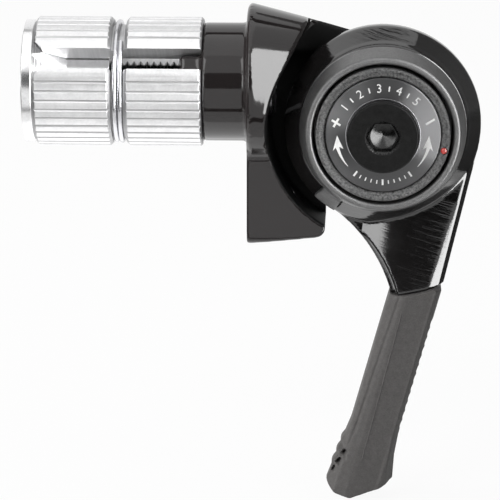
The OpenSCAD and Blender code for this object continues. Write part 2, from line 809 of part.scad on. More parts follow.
// One third of the plug. turn is the direction of its middle, measured
// from -Y towards +Z.
module segment(turn) {
    t = tan(cone_angle);
    mouth_r = rim_r + cone_gap - (seg_left - rim_right_x) * t;
    mouth_l = (mouth_r - plug_bore_r) / t;
    end_bevel = 0.3;
    g = groove_w / 2;
    floor_r = plug_r - groove_depth;
    mid = groove_mid_x - seg_left;
    corner = 1.3;
    flute_side = flute_depth * sqrt(2);
    color([0.85, 0.85, 0.86])
    difference() {
        translate([seg_left, 0, 0]) along_bar() rotate_extrude()
            polygon([[mouth_r, 0], [plug_r - end_bevel, 0], [plug_r, end_bevel],
                     [plug_r, mid - g - 0.5], [plug_r - 0.5, mid - g], [floor_r, mid - g],
                     [floor_r, mid + g], [plug_r - 0.5, mid + g], [plug_r, mid + g + 0.5],
                     [plug_r, plug_l - end_bevel], [plug_r - end_bevel, plug_l],
                     [plug_bore_r, plug_l], [plug_bore_r, mouth_l]]);
        // everything outside this third, less half a slot on each side
        for (side = [-1, 1])
            facing(turn + side * 60)
                translate([seg_left - 1, -2 * plug_r, side > 0 ? -slot_w / 2 : -2 * plug_r])
                    cube([plug_l + 2, 2 * plug_r, 2 * plug_r + slot_w / 2]);
        facing(turn + 180) translate([seg_left - 1, -2 * plug_r, -2 * plug_r])
            cube([plug_l + 2, 2 * plug_r, 4 * plug_r]);
        // corners broken beside the slots at the cone's end
        for (side = [-1, 1])
            facing(turn + side * 60)
                translate([seg_left, -plug_r, -side * slot_w / 2])
                    rotate([0, 45, 0])
                        cube([corner * sqrt(2), 6, corner * sqrt(2)], center = true);
        // flutes
        for (i = [0 : flute_count - 1])
            let (a = i * 360 / flute_count, off = (a - turn + 540) % 360 - 180)
                if (abs(off) < 47)
                    facing(a) translate([seg_left - 1, -plug_r, 0]) rotate([45, 0, 0])
                        translate([0, -flute_side / 2, -flute_side / 2])
                            cube([plug_l + 2, flute_side, flute_side]);
    }
}

module segment_top() segment(slot_turn + 60);
module segment_rear() segment(slot_turn + 180);
module segment_front() segment(slot_turn - 60);

// The spring ring: one turn and a third of wire, its ends side by side.
module spring_ring() {
    sides = 8;
    turns = 1.33;
    rings = 60;
    r = plug_r - groove_depth + wire_d / 2 + 0.05;
    shift = wire_d + 0.1;
    start = -50;
    function along(i) = i / (rings - 1) - 0.5;
    function centre(i) = let (a = start + along(i) * turns * 360, s = along(i) * turns)
        [groove_mid_x + shift * (abs(s) < 0.5 ? s : sign(s) * 0.5), -r * cos(a), r * sin(a)];
    function rim(i) = let (a = start + along(i) * turns * 360, c = centre(i))
        [for (j = [0 : sides - 1]) let (b = j * 360 / sides)
            c + wire_d / 2 * [cos(b), -cos(a) * sin(b), sin(a) * sin(b)]];
    points = [for (i = [0 : rings - 1]) each rim(i)];
    walls = [for (i = [0 : rings - 2], j = [0 : sides - 1])
        let (k = (j + 1) % sides)
            [i * sides + j, (i + 1) * sides + j, (i + 1) * sides + k, i * sides + k]];
    first = [for (j = [0 : sides - 1]) j];
    last = [for (j = [sides - 1 : -1 : 0]) (rings - 1) * sides + j];
    color([0.75, 0.75, 0.76])
        polyhedron(points, concat(walls, [first, last]));
}

pod_body();
pivot_post();
stop_pin();
thrust_washer();
cable_drum();
lever_bushing();
lever_arm();
lever_grip();
friction_washer();
friction_plate();
spring_washer();
adjuster_nut();
adjuster_ring();
index_dot();
cover_ring();
dial_plate();
pivot_bolt();
expander_washer();
expander_bolt();
expander_cone();
segment_top();
segment_front();
segment_rear();
spring_ring();
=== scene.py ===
import math

import bmesh
import bpy
from mathutils import Matrix, Vector


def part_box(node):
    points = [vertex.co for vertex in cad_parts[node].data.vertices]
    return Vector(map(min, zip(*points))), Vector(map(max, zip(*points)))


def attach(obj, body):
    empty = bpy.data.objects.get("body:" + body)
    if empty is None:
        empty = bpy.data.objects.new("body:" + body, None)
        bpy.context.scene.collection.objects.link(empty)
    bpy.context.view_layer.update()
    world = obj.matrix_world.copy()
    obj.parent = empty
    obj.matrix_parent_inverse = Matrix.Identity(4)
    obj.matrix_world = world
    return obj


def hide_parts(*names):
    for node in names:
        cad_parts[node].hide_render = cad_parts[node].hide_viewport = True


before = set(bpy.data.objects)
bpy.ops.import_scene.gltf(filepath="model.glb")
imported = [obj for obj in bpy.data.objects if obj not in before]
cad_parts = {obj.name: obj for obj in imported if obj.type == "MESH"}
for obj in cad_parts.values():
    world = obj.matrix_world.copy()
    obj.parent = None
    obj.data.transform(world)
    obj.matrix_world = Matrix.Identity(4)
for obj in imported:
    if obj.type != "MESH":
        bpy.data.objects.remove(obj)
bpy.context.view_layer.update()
mm = 0.001

# ---- Camera and studio -------------------------------------------------
# A long lens looks slightly down at the dial side. The shifter stands on its
# lever in front of white paper that runs from the floor up behind it.
dial_low, dial_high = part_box("dial_plate")
pivot = (dial_low + dial_high) / 2
pivot.y = 0
grip_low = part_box("lever_grip")[0]

look_at = Vector((0.301 * mm, 0, -25.986 * mm))
view_distance = 455 * mm
view_width = 76.207 * mm
film_width = 36
view_turn = math.radians(2.2)
view_rise = math.radians(13)
toward_camera = Vector((math.sin(view_turn) * math.cos(view_rise),
                        -math.cos(view_turn) * math.cos(view_rise), math.sin(view_rise)))
camera_data = bpy.data.cameras.new("camera")
camera_data.sensor_width = film_width
camera_data.lens = film_width * view_distance / view_width
camera_data.clip_start = 0.01
camera = bpy.data.objects.new("camera", camera_data)
camera.location = look_at + view_distance * toward_camera
camera.rotation_euler = (-toward_camera).to_track_quat("-Z", "Y").to_euler()
bpy.context.collection.objects.link(camera)
bpy.context.scene.camera = camera
bpy.context.scene.view_settings.view_transform = "Standard"


def seen_directly(tree):
    """One where a camera, mirror or glass ray looks, else zero."""
    path = tree.nodes.new("ShaderNodeLightPath")
    total = path.outputs["Is Camera Ray"]
    for kind in ("Is Glossy Ray", "Is Transmission Ray"):
        add = tree.nodes.new("ShaderNodeMath")
        add.operation = "ADD"
        add.use_clamp = True
        tree.links.new(total, add.inputs[0])
        tree.links.new(path.outputs[kind], add.inputs[1])
        total = add.outputs[0]
    return total


air = bpy.data.worlds.new("studio_air")
bpy.context.scene.world = air
air.use_nodes = True
tree = air.node_tree
room_light = 0.3
paper_white = 1
paper_glow = tree.nodes.new("ShaderNodeMix")
paper_glow.inputs["A"].default_value = room_light
paper_glow.inputs["B"].default_value = paper_white
tree.links.new(seen_directly(tree), paper_glow.inputs["Factor"])
tree.nodes["Background"].inputs["Color"].default_value = (1, 1, 1, 1)
tree.links.new(paper_glow.outputs["Result"], tree.nodes["Background"].inputs["Strength"])

floor_reach = 4
floor_z = grip_low.z - 0.4 * mm
glow_share = 0.93
bm = bmesh.new()
bmesh.ops.create_grid(bm, x_segments=1, y_segments=1, size=floor_reach)
bmesh.ops.translate(bm, verts=bm.verts, vec=(0, 0, floor_z))
floor_mesh = bpy.data.meshes.new("paper_floor")
bm.to_mesh(floor_mesh)
bm.free()
paper_floor = bpy.data.objects.new("paper_floor", floor_mesh)
bpy.context.collection.objects.link(paper_floor)
paper = bpy.data.materials.new("paper")
paper.use_nodes = True
tree = paper.node_tree
tree.nodes["Principled BSDF"].inputs["Base Color"].default_value = (0.8, 0.8, 0.8, 1)
tree.nodes["Principled BSDF"].inputs["Roughness"].default_value = 0.9
glow = tree.nodes.new("ShaderNodeEmission")
glow.inputs["Strength"].default_value = paper_white
mixed = tree.nodes.new("ShaderNodeMixShader")
share = tree.nodes.new("ShaderNodeMath")
share.operation = "MULTIPLY"
share.inputs[1].default_value = glow_share
tree.links.new(seen_directly(tree), share.inputs[0])
tree.links.new(share.outputs[0], mixed.inputs["Fac"])
tree.links.new(tree.nodes["Principled BSDF"].outputs["BSDF"], mixed.inputs[1])
tree.links.new(glow.outputs["Emission"], mixed.inputs[2])
tree.links.new(mixed.outputs["Shader"], tree.nodes["Material Output"].inputs["Surface"])
floor_mesh.materials.append(paper)
paper_floor.visible_glossy = False


def hung(name, thing, turn, rise, distance):
    """Hangs a lamp or card that faces the pivot, turned to the right of the dial side."""
    turn, rise = math.radians(turn), math.radians(rise)
    out = Vector((math.sin(turn) * math.cos(rise), -math.cos(turn) * math.cos(rise),
                  math.sin(rise)))
    holder = bpy.data.objects.new(name, thing)
    holder.location = pivot + distance * out
    holder.rotation_euler = out.to_track_quat("Z", "Y").to_euler()
    holder.visible_camera = False
    bpy.context.collection.objects.link(holder)
    return holder


lamp_distance = 0.9
lamp_power = 4


def softbox(name, turn, rise, size, radiance, fill):
    """A softbox. Shiny faces see its radiance, and matt ones get its fill."""
    width, height = size
    for kind, level in (("shine", radiance), ("fill", fill)):
        lamp = bpy.data.lights.new(name + "_" + kind, "AREA")
        lamp.shape = "RECTANGLE"
        lamp.size = width
        lamp.size_y = height
        lamp.energy = lamp_power * level * width * height
        holder = hung(name + "_" + kind, lamp, turn, rise, lamp_distance)
        holder.visible_diffuse = kind == "fill"
        holder.visible_glossy = kind == "shine"


softbox("softbox_right", 51, 8, size=(0.5, 1.5), radiance=8.5, fill=0.45)
softbox("softbox_left", -36, 38.5, size=(0.4, 0.44), radiance=2.1, fill=5)
softbox("softbox_left_low", -34, 9, size=(0.35, 0.36), radiance=3.5, fill=2.6)
softbox("softbox_far_left", -84, 8, size=(0.5, 0.8), radiance=0, fill=8)
softbox("softbox_above", 0, 88, size=(0.9, 0.9), radiance=0.3, fill=1.2)
softbox("softbox_below", 0, -110, size=(1.6, 1.2), radiance=0.5, fill=0)


screen_distance = 0.8


def screen(name, turn, rise, size, shade=0.01):
    """A dark cloth screen that only shiny faces see."""
    bm = bmesh.new()
    bmesh.ops.create_grid(bm, x_segments=1, y_segments=1, size=0.5)
    bmesh.ops.scale(bm, vec=(*size, 1), verts=bm.verts)
    mesh = bpy.data.meshes.new(name)
    bm.to_mesh(mesh)
    bm.free()
    cloth = bpy.data.materials.new(name + "_cloth")
    cloth.use_nodes = True
    weave = cloth.node_tree.nodes["Principled BSDF"]
    weave.inputs["Base Color"].default_value = (shade, shade, shade, 1)
    weave.inputs["Specular IOR Level"].default_value = 0
    mesh.materials.append(cloth)
    card = hung(name, mesh, turn, rise, screen_distance)
    card.visible_diffuse = False
    card.visible_shadow = False
    card.visible_transmission = False


screen("screen_camera", 0, 11.5, size=(0.9, 0.43))
screen("screen_left", -104, 5, size=(0.8, 1.15))
screen("screen_left_front", -50, -22, size=(0.7, 0.4))
screen("screen_right", 112, 10, size=(1.6, 1.6), shade=0.24)
screen("rail_behind", 180, 63, size=(2.4, 0.1))
screen("rail_below", 0, -47, size=(2.4, 0.1))

# ---- Pod ---------------------------------------------------------------
# The pod is one aluminium die casting, deburred in a drum so that every edge
# is softly rounded, then given a deep gloss black finish.


def clean_copy(node):
    """The mesh of a solid, with its flat faces whole again."""
    bm = bmesh.new()
    bm.from_mesh(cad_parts[node].data)
    bmesh.ops.remove_doubles(bm, verts=bm.verts, dist=0.01 * mm)
    bmesh.ops.dissolve_limit(bm, angle_limit=0.003, use_dissolve_boundaries=False,
                             verts=bm.verts, edges=bm.edges)
    return bm


def softened(node, name, width, sharp=26):
    """A copy of a solid whose convex edges, from sharp degrees up, are rounded."""
    bm = clean_copy(node)
    bmesh.ops.remove_doubles(bm, verts=bm.verts, dist=0.06 * mm)
    edges = [e for e in bm.edges
             if e.is_convex and e.calc_face_angle(0) > math.radians(sharp)]
    bmesh.ops.bevel(bm, geom=edges, offset=width * mm, offset_type="OFFSET", segments=2,
                    profile=0.5, affect="EDGES", clamp_overlap=True, material=-1,
                    loop_slide=True)
    return finished(bm, name)


def cast_skin(node, name, grain, passes, adjust=None):
    """A copy of a solid in an even skin of small faces, rubbed down in a few passes."""
    bm = bmesh.new()
    bm.from_mesh(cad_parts[node].data)
    bmesh.ops.remove_doubles(bm, verts=bm.verts, dist=0.002 * mm)
    if adjust:
        adjust(bm)
    rough = finished(bm, name)
    skin = rough.modifiers.new("skin", "REMESH")
    skin.mode = "VOXEL"
    skin.voxel_size = grain * mm
    bpy.context.view_layer.update()
    bm = bmesh.new()
    bm.from_object(rough, bpy.context.evaluated_depsgraph_get())
    bpy.data.objects.remove(rough)
    for _ in range(passes):
        bmesh.ops.smooth_vert(bm, verts=bm.verts, factor=0.5, use_axis_x=True,
                              use_axis_y=True, use_axis_z=True)
    return finished(bm, name, smooth=180)


def finished(bm, name, smooth=36):
    """Makes the mesh an object. Edges stay crisp from smooth degrees up."""
    mesh = bpy.data.meshes.new(name)
    bm.to_mesh(mesh)
    bm.free()
    mesh.polygons.foreach_set("use_smooth", [True] * len(mesh.polygons))
    mesh.set_sharp_from_angle(angle=math.radians(smooth))
    piece = bpy.data.objects.new(name, mesh)
    bpy.context.collection.objects.link(piece)
    return piece


def flat_lit(piece):
    """Lets large flat faces keep their own normals beside rounded edges."""
    weigh = piece.modifiers.new("weigh", "WEIGHTED_NORMAL")
    weigh.mode = "FACE_AREA"
    weigh.weight = 80
    weigh.keep_sharp = True
    bpy.context.view_layer.update()
    mesh = bpy.data.meshes.new_from_object(
        piece.evaluated_get(bpy.context.evaluated_depsgraph_get()))
    piece.modifiers.clear()
    piece.data = mesh
    return piece


def fitted(piece, finish, body, slot, *nodes):
    """Gives a piece its finish, the body it rides on and the solids it stands for."""
    piece.data.materials.clear()
    piece.data.materials.append(finish)
    if nodes:
        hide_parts(*nodes)
    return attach(piece, body)


def effect(name, inputs, outputs):
    """An empty shader group with float inputs and outputs, and its two ends."""
    group = bpy.data.node_groups.new(name, "ShaderNodeTree")
    for label, value in inputs.items():
        socket = group.interface.new_socket(label, in_out="INPUT",
                                            socket_type="NodeSocketFloat")
        socket.default_value = value
    for label in outputs:
        group.interface.new_socket(label, in_out="OUTPUT", socket_type="NodeSocketFloat")
    return group, group.nodes.new("NodeGroupInput"), group.nodes.new("NodeGroupOutput")


# Fine grain: two sizes of noise. The mask is for colour and gloss, the height
# for relief, and Size is in millimetres.
fine_grain, ends_in, ends_out = effect("fine_grain", {"Size": 1, "Coarse": 0.5},
                                       ("Mask", "Height"))
tree = fine_grain
place = tree.nodes.new("ShaderNodeTexCoord")
sizes = tree.nodes.new("ShaderNodeMath")
sizes.operation = "DIVIDE"
sizes.inputs[0].default_value = 1000
tree.links.new(ends_in.outputs["Size"], sizes.inputs[1])
coarse = tree.nodes.new("ShaderNodeMath")
coarse.operation = "MULTIPLY"
coarse.inputs[1].default_value = 0.23
tree.links.new(sizes.outputs[0], coarse.inputs[0])
grains = []
for scale, detail in ((sizes, 2), (coarse, 4)):
    noise = tree.nodes.new("ShaderNodeTexNoise")
    noise.inputs["Detail"].default_value = detail
    tree.links.new(place.outputs["Object"], noise.inputs["Vector"])
    tree.links.new(scale.outputs[0], noise.inputs["Scale"])
    grains.append(noise.outputs["Fac"])
blend = tree.nodes.new("ShaderNodeMix")
tree.links.new(ends_in.outputs["Coarse"], blend.inputs["Factor"])
tree.links.new(grains[0], blend.inputs["A"])
tree.links.new(grains[1], blend.inputs["B"])
spread = tree.nodes.new("ShaderNodeMapRange")
spread.inputs["From Min"].default_value = 0.32
spread.inputs["From Max"].default_value = 0.68
tree.links.new(blend.outputs["Result"], spread.inputs["Value"])
tree.links.new(spread.outputs["Result"], ends_out.inputs["Mask"])
tree.links.new(grains[0], ends_out.inputs["Height"])

# Handling: faint patches where hands have left the gloss a little duller.
handling, ends_in, ends_out = effect("handling", {"Amount": 1}, ("Mask",))
tree = handling
place = tree.nodes.new("ShaderNodeTexCoord")
patches = tree.nodes.new("ShaderNodeTexNoise")
patches.inputs["Scale"].default_value = 110
patches.inputs["Detail"].default_value = 5
patches.inputs["Roughness"].default_value = 0.62
patches.inputs["Distortion"].default_value = 0.6
tree.links.new(place.outputs["Object"], patches.inputs["Vector"])
edges = tree.nodes.new("ShaderNodeMapRange")
edges.inputs["From Min"].default_value = 0.46
edges.inputs["From Max"].default_value = 0.66
tree.links.new(patches.outputs["Fac"], edges.inputs["Value"])
amount = tree.nodes.new("ShaderNodeMath")
amount.operation = "MULTIPLY"
tree.links.new(edges.outputs["Result"], amount.inputs[0])
tree.links.new(ends_in.outputs["Amount"], amount.inputs[1])
tree.links.new(amount.outputs[0], ends_out.inputs["Mask"])


class Finish:
    """A material under construction: its shader, and short ways to wire it."""

    def __init__(self, name, colour, roughness, metallic=0.0, **plain):
        self.material = bpy.data.materials.new(name)
        self.material.use_nodes = True
        self.tree = self.material.node_tree
        self.shader = self.tree.nodes["Principled BSDF"]
        self.shader.inputs["Base Color"].default_value = (*colour, 1)
        self.shader.inputs["Roughness"].default_value = roughness
        self.shader.inputs["Metallic"].default_value = metallic
        for label, value in plain.items():
            self.shader.inputs[label.replace("_", " ")].default_value = value

    def use(self, group, **values):
        """Adds a shader group and returns its outputs."""
        node = self.tree.nodes.new("ShaderNodeGroup")
        node.node_tree = group
        for label, value in values.items():
            node.inputs[label].default_value = value
        return node.outputs

    def ranged(self, value, low, high):
        """Spreads zero to one over low to high."""
        node = self.tree.nodes.new("ShaderNodeMapRange")
        node.inputs["To Min"].default_value = low
        node.inputs["To Max"].default_value = high
        self.tree.links.new(value, node.inputs["Value"])
        return node.outputs["Result"]

    def between(self, value, low, high):
        """Zero up to low, one from high on."""
        node = self.tree.nodes.new("ShaderNodeMapRange")
        node.inputs["From Min"].default_value = low
        node.inputs["From Max"].default_value = high
        self.tree.links.new(value, node.inputs["Value"])
        return node.outputs["Result"]

    def both(self, first, second):
        """One mask times another."""
        node = self.tree.nodes.new("ShaderNodeMath")
        node.operation = "MULTIPLY"
        self.tree.links.new(first, node.inputs[0])
        self.tree.links.new(second, node.inputs[1])
        return node.outputs[0]

    def gloss(self, mask, low, high):
        """Roughness from low to high with the mask."""
        self.tree.links.new(self.ranged(mask, low, high), self.shader.inputs["Roughness"])

    def tint(self, mask, dark, light):
        """Colour from dark to light with the mask."""
        node = self.tree.nodes.new("ShaderNodeMix")
        node.data_type = "RGBA"
        node.inputs[6].default_value = (*dark, 1)
        node.inputs[7].default_value = (*light, 1)
        self.tree.links.new(mask, node.inputs["Factor"])
        self.tree.links.new(node.outputs[2], self.shader.inputs["Base Color"])

    def relief(self, *layers):
        """Lays heights on one another, each with its depth in millimetres."""
        normal = None
        for height, depth in layers:
            node = self.tree.nodes.new("ShaderNodeBump")
            node.inputs["Distance"].default_value = depth * mm
            node.inputs["Strength"].default_value = 1
            self.tree.links.new(height, node.inputs["Height"])
            if normal:
                self.tree.links.new(normal, node.inputs["Normal"])
            normal = node.outputs["Normal"]
        self.tree.links.new(normal, self.shader.inputs["Normal"])


def distance_from(finish, centre, along):
    """Distance in millimetres from an axis through centre, along Y or X."""
    place = finish.tree.nodes.new("ShaderNodeTexCoord")
    shift = finish.tree.nodes.new("ShaderNodeMapping")
    shift.inputs["Location"].default_value = [-c / mm for c in centre]
    shift.inputs["Scale"].default_value = [0 if name == along else 1 / mm for name in "XYZ"]
    shift.inputs["Location"].default_value["XYZ".index(along)] = 0
    length = finish.tree.nodes.new("ShaderNodeVectorMath")
    length.operation = "LENGTH"
    finish.tree.links.new(place.outputs["Object"], shift.inputs["Vector"])
    finish.tree.links.new(shift.outputs["Vector"], length.inputs[0])
    return length.outputs["Value"]


gloss_black = Finish("gloss_black", (0.017, 0.0145, 0.0145), 0.07, IOR=1.5)
# inside the recess for the lever the gloss is rougher, and its colour is darkened and its
# reflection weakened there as painted shade
arm_low, arm_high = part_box("lever_arm")
head_r = arm_high.x - pivot.x
recess_r = head_r / mm + 2.5
recess_floor = 6.5
from_pivot = distance_from(gloss_black, pivot, "Y")
place = gloss_black.tree.nodes.new("ShaderNodeTexCoord")
parts = gloss_black.tree.nodes.new("ShaderNodeSeparateXYZ")
gloss_black.tree.links.new(place.outputs["Object"], parts.inputs[0])
outside = gloss_black.between(from_pivot, recess_r + 0.24, recess_r + 0.34)
behind = gloss_black.between(parts.outputs["Y"], (recess_floor - 0.1) * mm,
                             (recess_floor + 0.1) * mm)
outside_recess_max = gloss_black.tree.nodes.new("ShaderNodeMath")
outside_recess_max.operation = "MAXIMUM"
gloss_black.tree.links.new(outside, outside_recess_max.inputs[0])
gloss_black.tree.links.new(behind, outside_recess_max.inputs[1])
outside_recess = outside_recess_max.outputs[0]
handled = gloss_black.ranged(gloss_black.use(handling, Amount=0.6)["Mask"], 0.055, 0.13)
dulled = gloss_black.tree.nodes.new("ShaderNodeMath")
gloss_black.tree.links.new(gloss_black.ranged(outside_recess, 0.5, 0), dulled.inputs[0])
gloss_black.tree.links.new(handled, dulled.inputs[1])
gloss_black.tree.links.new(dulled.outputs[0], gloss_black.shader.inputs["Roughness"])
# painted shade: a weaker reflection and a darker colour inside the recess for the lever
gloss_black.tree.links.new(gloss_black.ranged(outside_recess, 0.1, 0.5),
                           gloss_black.shader.inputs["Specular IOR Level"])
gloss_black.tint(outside_recess, (0.007, 0.007, 0.007), (0.017, 0.0145, 0.0145))
gloss_black.relief((gloss_black.use(fine_grain, Size=1.1, Coarse=0.6)["Height"], 0.0016))


def taper_from_edge(bm):
    """Draws the shoulder's vertices back, so that the taper starts at the collar's edge."""
    collar_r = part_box("pod_body")[1].y
    edge_x = 0.62 * mm
    fin_top = -9 * mm
    for vertex in bm.verts:
        on_rim = math.hypot(vertex.co.y, vertex.co.z) > collar_r - 0.1 * mm
        if on_rim and 1.2 * mm < vertex.co.x < 1.8 * mm and vertex.co.z > fin_top:
            vertex.co.x = edge_x


pod_casting = cast_skin("pod_body", "pod_casting", 0.25, 8, adjust=taper_from_edge)
fitted(pod_casting, gloss_black.material, "pod", "gloss_black_pod", "pod_body")

# ---- Pivot -------------------------------------------------------------
# A turned steel post is pressed into the pod's ear. The drum is cut from grey
# aluminium, turns on a bronze bush, and a steel pin limits its travel.

# Turned: fine rings about an axis, from a lathe tool's last pass.
turned, ends_in, ends_out = effect("turned", {"Pitch": 0.12, "Radius": 1}, ("Mask",))
tree = turned
across = tree.nodes.new("ShaderNodeMath")
across.operation = "DIVIDE"
tree.links.new(ends_in.outputs["Radius"], across.inputs[0])
tree.links.new(ends_in.outputs["Pitch"], across.inputs[1])
waver = tree.nodes.new("ShaderNodeTexNoise")
waver.noise_dimensions = "1D"
waver.inputs["Scale"].default_value = 1
waver.inputs["Detail"].default_value = 3
tree.links.new(across.outputs[0], waver.inputs["W"])
stretch = tree.nodes.new("ShaderNodeMapRange")
stretch.inputs["From Min"].default_value = 0.3
stretch.inputs["From Max"].default_value = 0.7
tree.links.new(waver.outputs["Fac"], stretch.inputs["Value"])
tree.links.new(stretch.outputs["Result"], ends_out.inputs["Mask"])


def turned_metal(name, colour, roughness, centre, along):
    """A metal turned on an axis through centre, along Y or X."""
    finish = Finish(name, colour, roughness, metallic=1.0)
    rings = finish.use(turned)
    finish.tree.links.new(distance_from(finish, centre, along),
                          rings["Mask"].node.inputs["Radius"])
    finish.gloss(rings["Mask"], roughness * 0.75, roughness * 1.3)
    finish.tint(finish.use(fine_grain, Size=0.6)["Mask"], [c * 0.86 for c in colour], colour)
    finish.relief((rings["Mask"], 0.002))
    return finish.material


steel = turned_metal("turned_steel", (0.56, 0.56, 0.58), 0.28, pivot, "Y")
bronze = turned_metal("bronze", (0.62, 0.42, 0.2), 0.3, pivot, "Y")
grey_aluminium = turned_metal("grey_aluminium", (0.3, 0.3, 0.32), 0.38, pivot, "Y")
for node, name, width, finish, body, slot in (
        ("pivot_post", "post", 0.12, steel, "pod", "turned_steel"),
        ("stop_pin", "travel_pin", 0.12, steel, "pod", "turned_steel"),
        ("thrust_washer", "back_washer", 0.06, bronze, "pod", "bronze"),
        ("cable_drum", "cable_pulley", 0.12, grey_aluminium, "lever", "grey_alloy"),
        ("lever_bushing", "bush", 0.08, bronze, "lever", "bronze")):
    fitted(softened(node, name, width), finish, body, slot, node)

# ---- Lever -------------------------------------------------------------
# The head and arm are one aluminium forging, linished across the arm before
# the gloss black finish, so its reflections break into fine cross streaks.
lean = math.radians(15.5)


def streaks(finish, grain, turn=0.0, detail=3):
    """Noise with its own grain, in lines a metre, along each axis of a turned frame."""
    place = finish.tree.nodes.new("ShaderNodeTexCoord")
    shift = finish.tree.nodes.new("ShaderNodeMapping")
    shift.inputs["Rotation"].default_value = (0, -turn, 0)
    stretch = finish.tree.nodes.new("ShaderNodeMapping")
    stretch.inputs["Scale"].default_value = grain
    noise = finish.tree.nodes.new("ShaderNodeTexNoise")
    noise.inputs["Scale"].default_value = 1
    noise.inputs["Detail"].default_value = detail
    finish.tree.links.new(place.outputs["Object"], shift.inputs["Vector"])
    finish.tree.links.new(shift.outputs["Vector"], stretch.inputs["Vector"])
    finish.tree.links.new(stretch.outputs["Vector"], noise.inputs["Vector"])
    return noise.outputs["Fac"]


lever_black = Finish("lever_black", (0.007, 0.0065, 0.0065), 0.12, IOR=1.7)
linished = streaks(lever_black, (300, 300, 4200), lean)
lever_black.gloss(lever_black.use(handling, Amount=0.7)["Mask"], 0.08, 0.16)
broad = streaks(lever_black, (120, 120, 1500), lean, detail=5)
lever_black.relief((lever_black.use(fine_grain, Size=0.8, Coarse=0.6)["Height"], 0.002),
                   (linished, 0.014), (broad, 0.02))
arm = cast_skin("lever_arm", "arm_and_head", 0.19, 4)
side_axis = Vector((math.cos(lean), 0, -math.sin(lean)))
long_axis = Vector((math.sin(lean), 0, math.cos(lean)))


def eased(value, start, over):
    """Zero up to start, then rising evenly to one over the given length."""
    return min(1, max(0, (value - start) / over))


# the arm's face rises gently from the head to the grip, and the head's rim
# reaches back round the drum
face_rise = math.tan(math.radians(8.5))
rise_from = head_r - 2.2 * mm
arm_end = 26 * mm
drum_r = 12.5 * mm
rim_growth = 0.7
for vertex in arm.data.vertices:
    down = (pivot - vertex.co).dot(long_axis)
    out = math.hypot(vertex.co.x - pivot.x, vertex.co.z - pivot.z)
    if out > rise_from and down < arm_end:
        front = min(eased(-vertex.co.y, 2 * mm, 1.2 * mm), eased(down, 4 * mm, 4 * mm))
        vertex.co.y -= face_rise * front * (out - rise_from)
    rim = min(eased(out, drum_r, 0.5 * mm), eased(-down, -3 * mm, 7 * mm))
    vertex.co.y += rim * rim_growth * (vertex.co.y - arm_low.y)
fitted(arm, lever_black.material, "lever", "gloss_black_lever", "lever_arm")

# ---- Grip --------------------------------------------------------------
# A soft black rubber grip is moulded over the arm's tang. It has a matt,
# finely grained skin and a parting line down its front.
rubber = Finish("grip_rubber", (0.12, 0.115, 0.11), 0.62, Specular_IOR_Level=0.2)
skin = rubber.use(fine_grain, Size=0.16, Coarse=0.4)
rubber.tint(skin["Mask"], (0.058, 0.055, 0.054), (0.09, 0.087, 0.085))
rubber.gloss(rubber.use(handling, Amount=1)["Mask"], 0.66, 0.54)
rubber.relief((skin["Height"], 0.03))
grip = cast_skin("lever_grip", "thumb_grip", 0.13, 4)


def ridge(offset, width):
    """The height of a soft ridge at an offset from its middle, where it is one."""
    return math.exp(-(offset / width) ** 2)


# u runs across the grip and v along it, in millimetres from the pivot. The
# front rolls away from a crease to the left, and over a bead and a bevel to
# the right. Three slots give the thumb a hold, and the left side is scalloped.
crease_middle = 9.1
bead_middle = 14.6
bevel_from = 15
slots = ((8.5, -49.5, 8.35, -50.1), (8.1, -51.25, 7.95, -51.85), (7.6, -52.9, 7.45, -53.45))
left_edge = 8.2
scallop_top, scallop_end, scallop_pitch = -47.3, -53, 1.9
for vertex in grip.data.vertices:
    u = (vertex.co - pivot).dot(side_axis) / mm
    v = (vertex.co - pivot).dot(long_axis) / mm
    front = eased(-vertex.co.y, 3.6 * mm, 3 * mm)
    crease = crease_middle + 0.034 * (v + 34) - 0.012 * max(0, -44 - v) ** 2
    back = 0.4 * ridge(u - crease, 0.24) + max(0, crease - 0.1 - u) * 1.2
    back += max(0, crease_middle + 1 - u) * 0.22 - 0.2 * ridge(u - bead_middle, 0.32)
    back += max(0, u - bevel_from) * 1.5
    for u0, v0, u1, v1 in slots:
        length = math.hypot(u1 - u0, v1 - v0)
        along = ((u - u0) * (u1 - u0) + (v - v0) * (v1 - v0)) / length ** 2
        near = min(1, max(0, along))
        away = math.hypot(u - u0 - near * (u1 - u0), v - v0 - near * (v1 - v0))
        back += 1.6 * ridge(away, 0.21)
    vertex.co.y += back * front * mm
    if u < left_edge and scallop_end < v < scallop_top:
        scallop = math.sin(math.pi * ((scallop_top - v) / scallop_pitch % 1))
        vertex.co -= side_axis * (0.24 * scallop * min(1, (left_edge - u) / 0.6)) * mm
fitted(grip, rubber.material, "lever", "grip_rubber", "lever_grip")

# The parting line stands up a hair where the two halves of the mould met.
line_r = 0.11 * mm
line_lean = lean - math.radians(1.4)
line_middle = pivot + 10.72 * mm * side_axis - 37.9 * mm * long_axis
bm = bmesh.new()
bmesh.ops.create_cone(bm, segments=10, radius1=line_r, radius2=line_r, depth=23.5 * mm,
                      cap_ends=True)
bmesh.ops.rotate(bm, cent=(0, 0, 0), matrix=Matrix.Rotation(line_lean, 3, "Y"), verts=bm.verts)
bmesh.ops.translate(bm, verts=bm.verts, vec=line_middle)
bmesh.ops.translate(bm, verts=bm.verts, vec=(0, grip_low.y + 0.02 * mm, 0))
fitted(finished(bm, "parting_line"), rubber.material, "lever", "grip_rubber")

